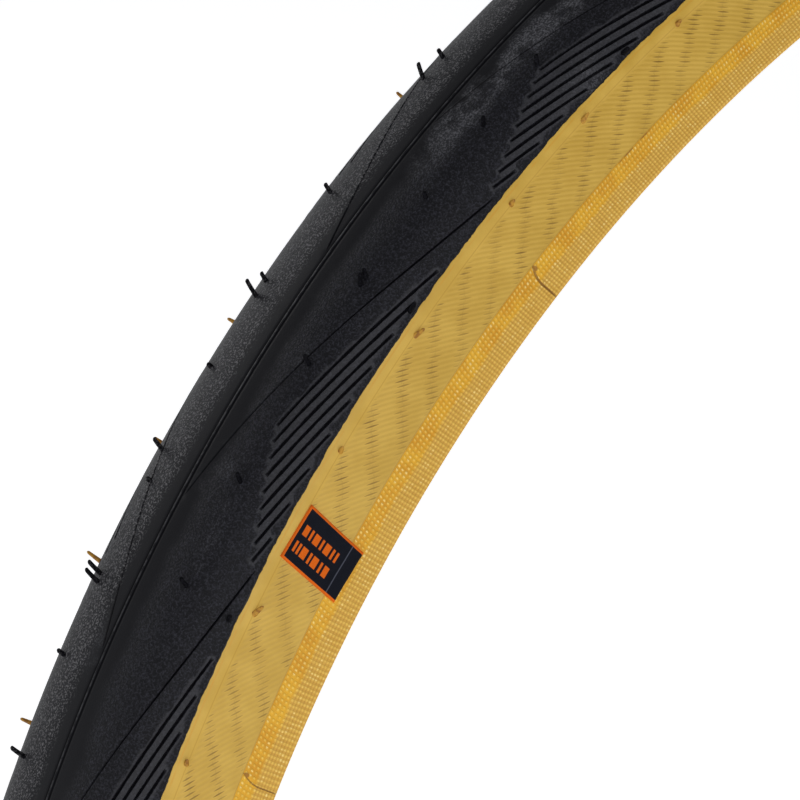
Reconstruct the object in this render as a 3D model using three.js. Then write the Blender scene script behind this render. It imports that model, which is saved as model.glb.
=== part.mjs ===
// Bicycle tire 35-622 (700 x 35C), unmounted, with its section relaxed to an open arch.
// Units are millimetres. The ring's axis is Y, +Z is up, the origin is the ring's centre.
import * as THREE from 'three';

// Ring
const CROWN_RADIUS = 339.7;
const FACET_DEG = 6;

// Outer section line: arc length from the crown against the wall's slope in degrees
const SLOPE_KNOTS = [
  [0, 0],
  [3, 2],
  [6, 5],
  [10, 9],
  [14, 20],
  [18, 44],
  [23, 60],
  [60, 60],
];
const SECTION_STEP = 0.1;

// Layers, as depths below the outer section line
const GAP = 0.1;
const TREAD_EDGE = 25;
const TREAD_CENTRE_DEPTH = 2.3;
const TREAD_EDGE_DEPTH = 1.03;
const BELT_HALF_WIDTH = 11;
const BELT_THICKNESS = 0.4;
const CASING_THICKNESS = 0.4;
const CASING_CROWN_DEPTH = 3.5;
const CASING_WALL_DEPTH = 1.33;
const TURN_UP_DEPTH = 0.79;
const TURN_UP_END = 30.4;
const SKIN_DEPTH = 0.49;
const CHAFER_EDGE = 39;
const CHAFER_THICKNESS = 0.45;

// Bead
const BEAD_CORE_ARC = 43.1;
const BEAD_CORE_DEPTH = 2.45;
const BEAD_CORE_RADIUS = 1.2;
const BEAD_CORE_SIDES = 6;
const CASING_WRAP_RADIUS = 1.66;
const BEAD_FLANK_ARC = 44.6;
const BEAD_FLANK_BOTTOM = 311.45;
const BEAD_SEAT_RADIUS = 310.95;
const BEAD_HEEL_CHAMFER = 0.55;
const BEAD_TOE_BOTTOM_OFFSET = 4.25;
const BEAD_TOE_TIP = [311.7, 5.15];

// Chafer seams, as ring angles from +X towards +Z
const SPLICE_START_DEG = 128.1;
const SPLICE_END_DEG = 149.5;
const SEAM_DEG = 0.04;

// Textile label on the near side
const LABEL_DEG = 141;
const LABEL_WIDTH = 11.6;
const LABEL_TOP = 27.2;
const LABEL_BOTTOM = 41.4;
const LABEL_SKEW = 2.9;
const LABEL_THICKNESS = 0.3;

const rad = THREE.MathUtils.degToRad;

function slopeAt(arc) {
  for (let i = 1; i < SLOPE_KNOTS.length; i += 1) {
    const [a0, s0] = SLOPE_KNOTS[i - 1];
    const [a1, s1] = SLOPE_KNOTS[i];
    if (arc <= a1) {
      return rad(s0 + ((s1 - s0) * (arc - a0)) / (a1 - a0));
    }
  }
  return rad(60);
}

// Point of the near half section at an arc length from the crown and a depth below the outer line
function at(arc, depth) {
  const steps = Math.max(1, Math.round(arc / SECTION_STEP));
  const ds = arc / steps;
  let r = CROWN_RADIUS;
  let y = 0;
  for (let i = 0; i < steps; i += 1) {
    const slope = slopeAt((i + 0.5) * ds);
    r -= Math.sin(slope) * ds;
    y -= Math.cos(slope) * ds;
  }
  const end = slopeAt(arc);
  return [r - depth * Math.cos(end), y + depth * Math.sin(end)];
}

function offsetLine(points, distance) {
  return points.map((p, i) => {
    const before = points[Math.max(0, i - 1)];
    const after = points[Math.min(points.length - 1, i + 1)];
    const first = new THREE.Vector2(p[0] - before[0], p[1] - before[1]);
    const second = new THREE.Vector2(after[0] - p[0], after[1] - p[1]);
    if (first.length() === 0) {
      first.copy(second);
    }
    if (second.length() === 0) {
      second.copy(first);
    }
    first.normalize();
    second.normalize();
    const mean = first.clone().add(second).normalize();
    const reach = distance / Math.max(0.5, mean.dot(first));
    return [p[0] - mean.y * reach, p[1] + mean.x * reach];
  });
}

function mirrored(points) {
  return points.map(([r, y]) => [r, -y]);
}

// Both halves of a crossing layer, from the near end over the crown to the far end
function across(points) {
  return [...points].reverse().concat(mirrored(points).slice(1));
}

// Radius factor that keeps a point on the flat facet of the ring's polygon
function facetFactor(deg) {
  const middle = (Math.floor(deg / FACET_DEG + 1e-9) + 0.5) * FACET_DEG;
  return Math.cos(rad(FACET_DEG / 2)) / Math.cos(rad(deg - middle));
}

function ringAngles(start, end) {
  const angles = [start];
  for (let a = Math.ceil(start / FACET_DEG + 1e-6) * FACET_DEG; a < end - 1e-6; a += FACET_DEG) {
    angles.push(a);
  }
  angles.push(end);
  return angles;
}

function signedVolume(positions, index) {
  const a = new THREE.Vector3();
  const b = new THREE.Vector3();
  const c = new THREE.Vector3();
  let volume = 0;
  for (let i = 0; i < index.length; i += 3) {
    a.fromArray(positions, index[i] * 3);
    b.fromArray(positions, index[i + 1] * 3);
    c.fromArray(positions, index[i + 2] * 3);
    volume += a.dot(b.cross(c));
  }
  return volume;
}

// Closed solid: a section polygon of [radius, y] swept round the Y axis in flat facets
function ringSolid(section, start = 0, end = 360) {
  const full = end - start >= 360 - 1e-6;
  const angles = ringAngles(start, end);
  if (full) {
    angles.pop();
  }
  const n = section.length;
  const positions = [];
  angles.forEach((deg) => {
    const k = facetFactor(deg);
    section.forEach(([r, y]) => {
      positions.push(r * k * Math.cos(rad(deg)), y, r * k * Math.sin(rad(deg)));
    });
  });
  const index = [];
  const spans = full ? angles.length : angles.length - 1;
  for (let i = 0; i < spans; i += 1) {
    const here = i * n;
    const next = ((i + 1) % angles.length) * n;
    for (let j = 0; j < n; j += 1) {
      const k = (j + 1) % n;
      index.push(here + j, next + j, next + k, here + j, next + k, here + k);
    }
  }
  if (!full) {
    const outline = section.map(([r, y]) => new THREE.Vector2(r, y));
    const sense = Math.sign(THREE.ShapeUtils.area(outline));
    const last = (angles.length - 1) * n;
    THREE.ShapeUtils.triangulateShape(outline, []).forEach(([a, b, c]) => {
      const same = Math.sign(THREE.ShapeUtils.area([outline[a], outline[b], outline[c]])) === sense;
      const [p, q] = same ? [b, c] : [c, b];
      index.push(a, p, q);
      index.push(last + a, last + q, last + p);
    });
  }
  if (signedVolume(positions, index) < 0) {
    for (let i = 0; i < index.length; i += 3) {
      [index[i + 1], index[i + 2]] = [index[i + 2], index[i + 1]];
    }
  }
  const geometry = new THREE.BufferGeometry();
  geometry.setAttribute('position', new THREE.Float32BufferAttribute(positions, 3));
  geometry.setIndex(index);
  geometry.computeVertexNormals();
  return geometry;
}

function material(color, roughness, name) {
  const m = new THREE.MeshStandardMaterial({ color, roughness, metalness: 0 });
  m.name = name;
  return m;
}

const rubberBlack = material(0x1d1d21, 0.75, 'tread_rubber');
const rubberTan = material(0xc79d4e, 0.6, 'sidewall_rubber');
const chaferGauze = material(0xcf9a3c, 0.8, 'chafer_gauze');
const casingNylon = material(0xa98a55, 0.8, 'casing_nylon');
const beltNylon = material(0x5d6470, 0.85, 'belt_nylon');
const aramid = material(0xd2b24a, 0.7, 'aramid_cord');
const labelCloth = material(0x1b1a20, 0.8, 'label_cloth');

const group = new THREE.Group();
group.name = 'bicycle_tire';

function add(name, geometry, surface) {
  const mesh = new THREE.Mesh(geometry, surface);
  mesh.name = name;
  group.add(mesh);
}

// Tread: thick over the belts, thinning to its edges
const beltPocket = BELT_HALF_WIDTH + 2 * GAP;
const casingTop = CASING_CROWN_DEPTH - CASING_THICKNESS / 2;
const treadOuter = [0, 5, 10, 14, 17, 20, TREAD_EDGE].map((arc) => at(arc, 0));
const treadInner = [
  at(0, TREAD_CENTRE_DEPTH),
  at(5.5, TREAD_CENTRE_DEPTH),
  at(beltPocket, TREAD_CENTRE_DEPTH),
  at(beltPocket + 0.3, casingTop - GAP),
  at(12.5, casingTop - GAP),
  at(18, 2.1),
  at(21.5, 1.5),
  at(TREAD_EDGE, TREAD_EDGE_DEPTH),
];
add('tread', ringSolid(across(treadOuter).concat(across(treadInner).reverse())), rubberBlack);

// Puncture belts under the crown
function beltSection(depth) {
  const arcs = [0, 5.5, BELT_HALF_WIDTH];
  const outer = across(arcs.map((arc) => at(arc, depth)));
  const inner = across(arcs.map((arc) => at(arc, depth + BELT_THICKNESS)));
  return outer.concat(inner.reverse());
}
const outerBeltDepth = TREAD_CENTRE_DEPTH + GAP;
const innerBeltDepth = outerBeltDepth + BELT_THICKNESS + GAP / 2;
add('puncture_belt_outer', ringSolid(beltSection(outerBeltDepth)), beltNylon);
add('puncture_belt_inner', ringSolid(beltSection(innerBeltDepth)), beltNylon);

// Casing ply: one band that wraps round both bead cores and turns up behind the side walls
const wrap = [];
for (let turn = 130; turn >= -90; turn -= 55) {
  const along = BEAD_CORE_ARC + CASING_WRAP_RADIUS * Math.cos(rad(turn));
  wrap.push(at(along, BEAD_CORE_DEPTH + CASING_WRAP_RADIUS * Math.sin(rad(turn))));
}
const casingLine = [
  at(0, CASING_CROWN_DEPTH),
  at(5.5, CASING_CROWN_DEPTH),
  at(beltPocket, CASING_CROWN_DEPTH),
  at(12.5, CASING_CROWN_DEPTH),
  at(18, 2.4),
  at(21.5, 1.83),
  at(TREAD_EDGE, CASING_WALL_DEPTH),
  at(38.1, CASING_WALL_DEPTH),
  ...wrap,
  at(TURN_UP_END, TURN_UP_DEPTH),
];
const casingHalf = CASING_THICKNESS / 2;
const casingLeft = offsetLine(across(casingLine), casingHalf);
const casingRight = offsetLine(across(casingLine), -casingHalf);
add('casing_ply', ringSolid(casingLeft.concat(casingRight.reverse())), casingNylon);

// Bead cores
const coreCentre = at(BEAD_CORE_ARC, BEAD_CORE_DEPTH);
const coreSection = [];
for (let i = 0; i < BEAD_CORE_SIDES; i += 1) {
  const turn = rad((360 / BEAD_CORE_SIDES) * (i + 0.5));
  coreSection.push([
    coreCentre[0] + BEAD_CORE_RADIUS * Math.cos(turn),
    coreCentre[1] + BEAD_CORE_RADIUS * Math.sin(turn),
  ]);
}
add('bead_core_near', ringSolid(coreSection), aramid);
add('bead_core_far', ringSolid(mirrored(coreSection)), aramid);

// Side wall skins between the tread edge and the chafer
const skinStart = TREAD_EDGE + GAP;
const skinEnd = CHAFER_EDGE - GAP;
const skinSection = [
  at(skinStart, 0),
  at(32, 0),
  at(skinEnd, 0),
  at(skinEnd, SKIN_DEPTH),
  at(TURN_UP_END, SKIN_DEPTH),
  at(TURN_UP_END - 0.6, TREAD_EDGE_DEPTH),
  at(skinStart, TREAD_EDGE_DEPTH),
];
add('sidewall_skin_near', ringSolid(skinSection), rubberTan);
add('sidewall_skin_far', ringSolid(mirrored(skinSection)), rubberTan);

// Chafers: woven strips folded round the beads, each closed by a short spliced length
const flankTop = at(BEAD_FLANK_ARC, 0);
const flankY = flankTop[1];
const liftLine = [at(38.1, CASING_WALL_DEPTH), ...wrap, at(TURN_UP_END, TURN_UP_DEPTH)];
const wrapOuter = offsetLine(liftLine, -(casingHalf + GAP));
const wrapCover = offsetLine(liftLine, -(casingHalf + GAP + CHAFER_THICKNESS));
function between(a, b, share) {
  return [a[0] + (b[0] - a[0]) * share, a[1] + (b[1] - a[1]) * share];
}
const chaferOuter = [
  at(CHAFER_EDGE, 0),
  flankTop,
  [BEAD_FLANK_BOTTOM, flankY],
  [BEAD_SEAT_RADIUS, flankY + BEAD_HEEL_CHAMFER],
  [BEAD_SEAT_RADIUS, flankY + BEAD_TOE_BOTTOM_OFFSET],
  [BEAD_TOE_TIP[0], flankY + BEAD_TOE_TIP[1]],
  wrapCover[1],
  between(wrapCover[0], wrapCover[1], 0.1),
];
const chaferInner = [
  between(wrapOuter[0], wrapOuter[1], 0.1),
  ...wrapOuter.slice(1, -1),
  at(CHAFER_EDGE, TURN_UP_DEPTH - casingHalf - GAP),
];
const chaferSection = chaferOuter.concat(chaferInner);
const farSection = mirrored(chaferSection);
const stripStart = SPLICE_END_DEG + SEAM_DEG;
const stripEnd = SPLICE_START_DEG - SEAM_DEG + 360;
add('chafer_strip_near', ringSolid(chaferSection, stripStart, stripEnd), chaferGauze);
add('chafer_splice_near', ringSolid(chaferSection, SPLICE_START_DEG, SPLICE_END_DEG), chaferGauze);
add('chafer_strip_far', ringSolid(farSection, stripStart - 180, stripEnd - 180), chaferGauze);
add('chafer_splice_far', ringSolid(farSection, SPLICE_START_DEG + 180, SPLICE_END_DEG + 180), chaferGauze);

// Label: a cloth tag lying flat across the side wall's foot and the chafer's edge
function labelPoint(arc, sideways, height) {
  const [r, y] = at(arc, -height);
  const reach = r * Math.cos(rad(FACET_DEG / 2));
  const dir = rad(LABEL_DEG);
  return new THREE.Vector3(
    reach * Math.cos(dir) + sideways * Math.sin(dir),
    y,
    reach * Math.sin(dir) - sideways * Math.cos(dir),
  );
}
const labelCorners = [
  [LABEL_TOP, -LABEL_WIDTH / 2 + LABEL_SKEW / 2],
  [LABEL_TOP, LABEL_WIDTH / 2 + LABEL_SKEW / 2],
  [LABEL_BOTTOM, LABEL_WIDTH / 2 - LABEL_SKEW / 2],
  [LABEL_BOTTOM, -LABEL_WIDTH / 2 - LABEL_SKEW / 2],
];
const labelPositions = [];
[GAP, GAP + LABEL_THICKNESS].forEach((height) => {
  labelCorners.forEach(([arc, sideways]) => {
    labelPositions.push(...labelPoint(arc, sideways, height).toArray());
  });
});
const labelIndex = [0, 1, 2, 0, 2, 3, 4, 6, 5, 4, 7, 6];
for (let i = 0; i < 4; i += 1) {
  const j = (i + 1) % 4;
  labelIndex.push(i, i + 4, j + 4, i, j + 4, j);
}
const labelCentre = labelPoint((LABEL_TOP + LABEL_BOTTOM) / 2, 0, GAP + LABEL_THICKNESS / 2).toArray();
const labelLocal = labelPositions.map((value, i) => value - labelCentre[i % 3]);
if (signedVolume(labelLocal, labelIndex) < 0) {
  labelIndex.reverse();
}
const labelGeometry = new THREE.BufferGeometry();
labelGeometry.setAttribute('position', new THREE.Float32BufferAttribute(labelPositions, 3));
labelGeometry.setIndex(labelIndex);
labelGeometry.computeVertexNormals();
add('bead_label', labelGeometry, labelCloth);

export default group;
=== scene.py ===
"""Bicycle tire 35-622, unmounted: the visual model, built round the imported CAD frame.

The ring's axis is Y and +Z is up. Blender objects are in metres, the tire's own sizes in millimetres.
A place on the tire is given by three numbers:
  run     the way round the ring, measured at the side wall's radius
  arc     the way across from the middle of the tread, positive on the near side (-Y)
  height  above the rubber's surface
"""

import functools
import math
import random

import bmesh
import bpy
import numpy as np
from mathutils import Matrix, Vector
from mathutils.geometry import delaunay_2d_cdt


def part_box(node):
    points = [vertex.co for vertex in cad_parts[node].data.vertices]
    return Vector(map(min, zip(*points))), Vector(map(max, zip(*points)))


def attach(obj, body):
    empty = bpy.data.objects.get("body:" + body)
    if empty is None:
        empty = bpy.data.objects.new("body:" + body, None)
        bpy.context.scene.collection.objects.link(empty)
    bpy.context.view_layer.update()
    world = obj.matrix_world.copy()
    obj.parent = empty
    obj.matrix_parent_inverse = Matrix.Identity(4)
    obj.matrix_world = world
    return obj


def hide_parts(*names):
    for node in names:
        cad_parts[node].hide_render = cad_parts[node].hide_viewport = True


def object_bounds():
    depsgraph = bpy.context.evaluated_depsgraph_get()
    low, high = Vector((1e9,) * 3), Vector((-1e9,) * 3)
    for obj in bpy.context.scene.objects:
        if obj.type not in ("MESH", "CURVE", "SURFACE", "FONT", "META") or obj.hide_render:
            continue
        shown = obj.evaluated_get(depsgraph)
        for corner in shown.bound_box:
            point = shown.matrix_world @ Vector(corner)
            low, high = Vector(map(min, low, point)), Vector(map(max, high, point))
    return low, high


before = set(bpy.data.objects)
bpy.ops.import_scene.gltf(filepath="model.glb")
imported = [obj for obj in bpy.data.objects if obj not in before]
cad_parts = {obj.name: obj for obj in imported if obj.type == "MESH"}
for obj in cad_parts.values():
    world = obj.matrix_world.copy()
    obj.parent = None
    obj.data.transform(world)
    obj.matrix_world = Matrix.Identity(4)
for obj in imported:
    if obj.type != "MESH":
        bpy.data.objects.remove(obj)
cad_low, cad_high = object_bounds()

MM = 0.001
BODY = "root"

# Ring and section. The section is given by its slope in degrees against the arc from the crown.
CROWN_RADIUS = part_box("tread")[1].z / MM
SLOPE_ARCS = (0, 3, 6, 10, 14, 18, 23, 60)
SLOPE_DEGREES = (0, 2, 5, 9, 20, 44, 60, 60)
# Run is measured at the wall radius, from the start angle on; the photograph shows the seen runs.
WALL_RADIUS = 327.0
ROUND = 2 * math.pi * WALL_RADIUS
START_DEG = 172.0
SEEN = (95.0, 345.0)

# Tread: a long groove starts each pitch, and its ends lie on a grid of cells round the ring.
# The far shoulder is the near one mirrored and shifted, and a smooth strip lies between them.
TREAD_EDGE = 25.0
TREAD_EDGE_DEPTH = 1.03
PITCHES = 23
PITCH = ROUND / PITCHES
CELLS_PER_PITCH = 48
CELL = PITCH / CELLS_PER_PITCH
FIRST_GROOVE = 169.3
FAR_SHIFT = 30 * CELL
CROWN_STRIP = 1.0
CROWN_PROFILE_ARCS = np.array([-1, -0.7, -0.4, -0.2, -0.1, 0.1, 0.2, 0.45, 1]) * CROWN_STRIP
CROWN_PROFILE_HEIGHTS = np.array([0, -0.05, -0.1, 0.02, 0.13, 0.13, 0.02, -0.13, 0])
INNER_ARCS = np.array([TREAD_EDGE, 21.5, 18, 12.5, 5.5, -5.5, -12.5, -18, -21.5, -TREAD_EDGE])
INNER_DEPTHS = np.array([TREAD_EDGE_DEPTH, 1.5, 2.1, 3.2, 2.3, 2.3, 3.2, 2.1, 1.5, TREAD_EDGE_DEPTH])
LONG_GROOVE_WIDTH = 0.56
LONG_GROOVE_DEPTH = 0.42
SHORT_GROOVES = 9
SHORT_GROOVE_WIDTH = 0.7
SHORT_GROOVE_DEPTH = 0.45
SHORT_GROOVE_FLOOR = 0.18
LIP = 0.05
# A long groove passes these arcs this far round from its pitch's start.
GROOVE_ARCS = (CROWN_STRIP, 8.0, 16.5, TREAD_EDGE)
GROOVE_LEADS = (-45 * CELL, -59.3, -32.2, 2 * CELL)
GROOVE_CUBIC = np.polyfit(GROOVE_ARCS, GROOVE_LEADS, 3)
# Moulding hairs start under the surface, and the materials know them by their relief.
HAIR_ROOT = 0.3
HAIR_RELIEF = 5.0
HAIRS_ROUND = 92
STEP_HAIRS_ROUND = 68

# Side wall: casing cords under thin rubber show as ridges, and as dashes in slanting bands.
STEP_ARC = 27.6
CORDS = 1326
CORD_SPACING = ROUND / CORDS
CORD_SLANT = 1.2
CORD_START = 28.0
CORD_END = 38.5
SKIN_END = 38.88
SKIN_DEPTH = 0.49
DASH_BANDS = 191
DASH_SLANT = 1.6
DASH_MIDDLE = 287.8

# Chafer: gauze with coarse rows above and fine rows below, stretched unevenly. Near their top
# ends its seams bend round the ring, and within their reach the strip's mesh leans with them.
CHAFER_EDGE = 38.9
CHAFER_THICKNESS = 0.45
CHAFER_COLUMN = 1.3
SEAT_RADIUS = 310.6
SEAM_RUNS = (128.3, 250.2)
SEAM_GAP = 0.05
SEAM_BEND = 43.0
SEAM_BENT_LENGTH = 4.1
SEAM_LEAN = 1.7
SEAM_REACH = 12
GAUZE_COLUMNS = 2026
GAUZE_WIDE_ROW, GAUZE_FINE_ROW = 0.98, 0.66
GAUZE_FINE_START = 42.4
GAUZE_STRETCH_WAVES = 7
GAUZE_STRETCH_COLUMNS = 4.7
GAUZE_STRETCH_START = 287

# Bead cores, casing and belts
BEAD_ARC, BEAD_DEPTH = 43.1, -2.45
BEAD_RADIUS = 1.2
CASING_THICKNESS = 0.4
CASING_CORDS = 2300
BELT_THICKNESS = 0.36
BELT_CORDS = 1500
RING_COLUMNS = 540

# Tag: its own x goes round the ring and its own y down the wall, from its top corner. Each column
# of bars is given by its two sides and by the tops and bottoms of its bars.
LABEL_WIDTH = 12.0
LABEL_TOP, LABEL_FOOT = 27.1, 41.25
LABEL_HEIGHT = LABEL_FOOT - LABEL_TOP
LABEL_RUN_TOP, LABEL_RUN_FOOT = 172.9, 169.6
LABEL_TILT = 0.055
LABEL_RIM = 0.52
LABEL_FOLD = 11.6
LABEL_BASE = 0.02
LABEL_BARS = [
    (2.4, 4.7, [(1.3, 1.8), (2.2, 2.7), (3.1, 4.4), (5.0, 5.5), (5.9, 7.2), (7.8, 8.3), (8.8, 9.9)]),
    (6.2, 8.4, [(1.4, 2.5), (3.0, 3.5), (4.0, 5.3), (5.8, 6.3), (6.8, 8.1), (8.6, 9.1), (9.6, 10.1)]),
]

# Light and camera: where they aim, the camera's direction and distance, its sensor in millimetres
# and its lens in sensor widths
LIGHT_AIM = Vector((-0.21, 0.0, 0.22))
CAMERA_AIM = Vector((-0.20782, 0.0, 0.21757))
CAMERA_AZIMUTH = -39.12
CAMERA_ELEVATION = 20.74
CAMERA_ROLL = -1.42
CAMERA_DISTANCE = 0.92437
SENSOR_WIDTH = 36
FOCAL_SHARE = 5.5517

random.seed(35622)


# ---------------------------------------------------------------- section and ring

def sampled_section():
    """Closely spaced arcs with their slope, radius and half width, summed outwards from the crown."""
    arcs = np.arange(0, SLOPE_ARCS[-1] + 0.001, 0.02)
    slopes = np.radians(np.interp(arcs, SLOPE_ARCS, SLOPE_DEGREES))
    middles = (slopes[1:] + slopes[:-1]) / 2
    steps = np.diff(arcs)
    radii = CROWN_RADIUS - np.concatenate([[0], np.cumsum(np.sin(middles) * steps)])
    widths = np.concatenate([[0], np.cumsum(np.cos(middles) * steps)])
    return arcs, slopes, radii, widths


SECTION_ARCS, SECTION_SLOPES, SECTION_RADII, SECTION_WIDTHS = sampled_section()


def section(arc, height=0.0):
    """Radius and Y, in millimetres, of a point of the section."""
    arc = np.asarray(arc, float)
    away = np.abs(arc)
    slope = np.interp(away, SECTION_ARCS, SECTION_SLOPES)
    radius = np.interp(away, SECTION_ARCS, SECTION_RADII) + height * np.cos(slope)
    width = np.interp(away, SECTION_ARCS, SECTION_WIDTHS) + height * np.sin(slope)
    return radius, -np.sign(arc) * width


def on_ring(run, radius, y):
    """Points in metres at a radius and Y, turned round the ring by run."""
    run, radius, y = np.broadcast_arrays(np.asarray(run, float), radius, y)
    turn = math.radians(START_DEG) - run / WALL_RADIUS
    return np.stack([radius * np.cos(turn), y, radius * np.sin(turn)], -1) * MM


def on_tire(run, arc, height=0.0):
    """Points in metres at places of run, arc and height."""
    run, arc, height = np.broadcast_arrays(np.asarray(run, float), arc, height)
    radius, y = section(arc, height)
    return on_ring(run, radius, y)


# ---------------------------------------------------------------- meshes

class Skin:
    """Points, their run and arc, and faces, gathered from several sheets and welded into one piece."""

    def __init__(self):
        self.points = []
        self.places = []
        self.reliefs = []
        self.faces = []
        self.count = 0

    def add(self, points, places, faces, relief=0.0):
        """Relief is the moulded height in millimetres, which the materials read."""
        points = np.asarray(points, float).reshape(-1, 3)
        self.points.append(points)
        self.places.append(np.asarray(places, float).reshape(-1, 2))
        self.reliefs.append(np.broadcast_to(relief, len(points)))
        self.faces.append(np.asarray(faces) + self.count)
        self.count += len(points)

    def add_grid(self, points, places, relief=0.0):
        """A sheet of quads from an array of columns by rows of points."""
        columns, rows = points.shape[:2]
        index = np.arange(columns * rows).reshape(columns, rows)
        quads = np.stack([index[:-1, :-1], index[1:, :-1], index[1:, 1:], index[:-1, 1:]], -1)
        relief = np.broadcast_to(relief, (columns, rows)).ravel()
        self.add(points, places, quads.reshape(-1, 4), relief)

    def piece(self, name, material, slot):
        """The welded mesh as an object that stands for the CAD node of the same name."""
        mesh = bpy.data.meshes.new(name)
        points = np.concatenate(self.points)
        places = np.concatenate(self.places)
        corners = np.concatenate([f.ravel() for f in self.faces])
        sizes = np.concatenate([np.full(len(f), f.shape[1]) for f in self.faces])
        mesh.vertices.add(len(points))
        mesh.vertices.foreach_set("co", points.ravel())
        mesh.loops.add(len(corners))
        mesh.loops.foreach_set("vertex_index", corners)
        mesh.polygons.add(len(sizes))
        mesh.polygons.foreach_set("loop_start", np.concatenate([[0], np.cumsum(sizes)[:-1]]))
        mesh.update(calc_edges=True)
        layer = mesh.uv_layers.new(name="place")
        layer.data.foreach_set("uv", places[corners].ravel())
        relief = mesh.attributes.new("relief", "FLOAT", "POINT")
        relief.data.foreach_set("value", np.concatenate(self.reliefs))
        weld(mesh)
        mesh.polygons.foreach_set("use_smooth", [True] * len(mesh.polygons))
        mesh.set_sharp_from_angle(angle=math.radians(50))
        mesh.materials.append(material)
        piece = bpy.data.objects.new(name, mesh)
        bpy.context.scene.collection.objects.link(piece)
        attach(piece, BODY)
        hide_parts(name)


def weld(mesh, distance=2e-6):
    """Joins the points that sheets share and turns every face outwards."""
    solid = bmesh.new()
    solid.from_mesh(mesh)
    bmesh.ops.remove_doubles(solid, verts=solid.verts, dist=distance)
    bmesh.ops.dissolve_degenerate(solid, edges=solid.edges, dist=distance / 2)
    bmesh.ops.recalc_face_normals(solid, faces=solid.faces)
    solid.to_mesh(mesh)
    solid.free()


def closed(points):
    """The points with the first one again at the end."""
    return np.concatenate([points, points[:1]])


def band(skin, radius, y, along, runs):
    """A closed tube swept round the ring; radius, y and along follow the outline, runs the way round."""
    runs = np.asarray(runs, float)
    radius, y = closed(np.asarray(radius)), closed(np.asarray(y))
    along = np.append(along, along[-1] + 0.5)
    runs = runs[:, None] if runs.ndim == 1 else runs[:, np.r_[0:runs.shape[1], 0]]
    points = on_ring(runs, radius[None, :], y[None, :])
    places = np.stack(np.broadcast_arrays(runs, along[None, :]), -1)
    skin.add_grid(points, places)


def full_round(columns):
    """Even steps of run round the whole ring."""
    return np.linspace(0, ROUND, columns + 1)


def fillet(corners, radii, steps=6):
    """A line through corners, each rounded with its own radius."""
    line = [np.array(corners[0], float)]
    for before, corner, after, radius in zip(corners, corners[1:], corners[2:], radii):
        before, corner, after = (np.array(p, float) for p in (before, corner, after))
        back = (before - corner) / np.linalg.norm(before - corner)
        ahead = (after - corner) / np.linalg.norm(after - corner)
        half = math.acos(np.clip(back @ ahead, -1, 1)) / 2
        reach = radius / math.tan(half)
        middle = corner + (back + ahead) / np.linalg.norm(back + ahead) * radius / math.sin(half)
        start = corner + back * reach - middle
        end = corner + ahead * reach - middle
        turn = math.atan2(start[0] * end[1] - start[1] * end[0], start @ end)
        for i in range(steps + 1):
            c, s = math.cos(turn * i / steps), math.sin(turn * i / steps)
            line.append(middle + np.array([c * start[0] - s * start[1], s * start[0] + c * start[1]]))
    line.append(np.array(corners[-1], float))
    return np.array(line)


def thicken(line, left, right):
    """Two lines beside a line, at distances left and right of it, joined into one closed outline."""
    along = np.gradient(line, axis=0)
    along /= np.linalg.norm(along, axis=1)[:, None]
    leftward = np.stack([-along[:, 1], along[:, 0]], -1)
    return np.concatenate([line - leftward * right, (line + leftward * left)[::-1]])


# ---------------------------------------------------------------- node materials

class Signal:
    """A number in a material's node tree. Arithmetic on it adds Math nodes."""

    def __init__(self, tree, socket):
        self.tree = tree
        self.socket = socket

    def math(self, operation, *others):
        node = self.tree.nodes.new("ShaderNodeMath")
        node.operation = operation
        for socket, value in zip(node.inputs, (self, *others)):
            if isinstance(value, Signal):
                self.tree.links.new(value.socket, socket)
            else:
                socket.default_value = value
        return Signal(self.tree, node.outputs[0])

    def __add__(self, other):
        return self.math("ADD", other)

    def __sub__(self, other):
        return self.math("SUBTRACT", other)

    def __mul__(self, other):
        return self.math("MULTIPLY", other)

    def __neg__(self):
        return self * -1

    def __rsub__(self, other):
        return -self + other

    __radd__ = __add__
    __rmul__ = __mul__

    def wave(self):
        """1 at whole numbers, 0 halfway between."""
        return (self * (2 * math.pi)).math("COSINE") * 0.5 + 0.5

    def ramp(self, low, high):
        """0 at low, 1 at high, smooth between; low may be the greater."""
        node = self.tree.nodes.new("ShaderNodeMapRange")
        node.interpolation_type = "SMOOTHSTEP"
        turned = low > high
        node.inputs["From Min"].default_value = min(low, high)
        node.inputs["From Max"].default_value = max(low, high)
        node.inputs["To Min"].default_value = 1.0 if turned else 0.0
        node.inputs["To Max"].default_value = 0.0 if turned else 1.0
        self.tree.links.new(self.socket, node.inputs["Value"])
        return Signal(self.tree, node.outputs["Result"])

    def within(self, low, high, blur):
        """1 between low and high, 0 outside, smooth across twice the blur at each end."""
        return self.ramp(low - blur, low + blur) * self.ramp(high + blur, high - blur)

    def absolute(self):
        return self.math("ABSOLUTE")

    def off_middle(self):
        """Distance of the fraction part from a half, 0 to 0.5."""
        return (self.fraction() - 0.5).absolute()

    def floor(self):
        return self.math("FLOOR")

    def fraction(self):
        return self.math("FRACT")

    def at_most(self, other):
        return self.math("MINIMUM", other)

    def at_least(self, other):
        return self.math("MAXIMUM", other)


def greatest(signals):
    """The greatest of several signals at each point."""
    return functools.reduce(Signal.at_least, signals)


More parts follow.
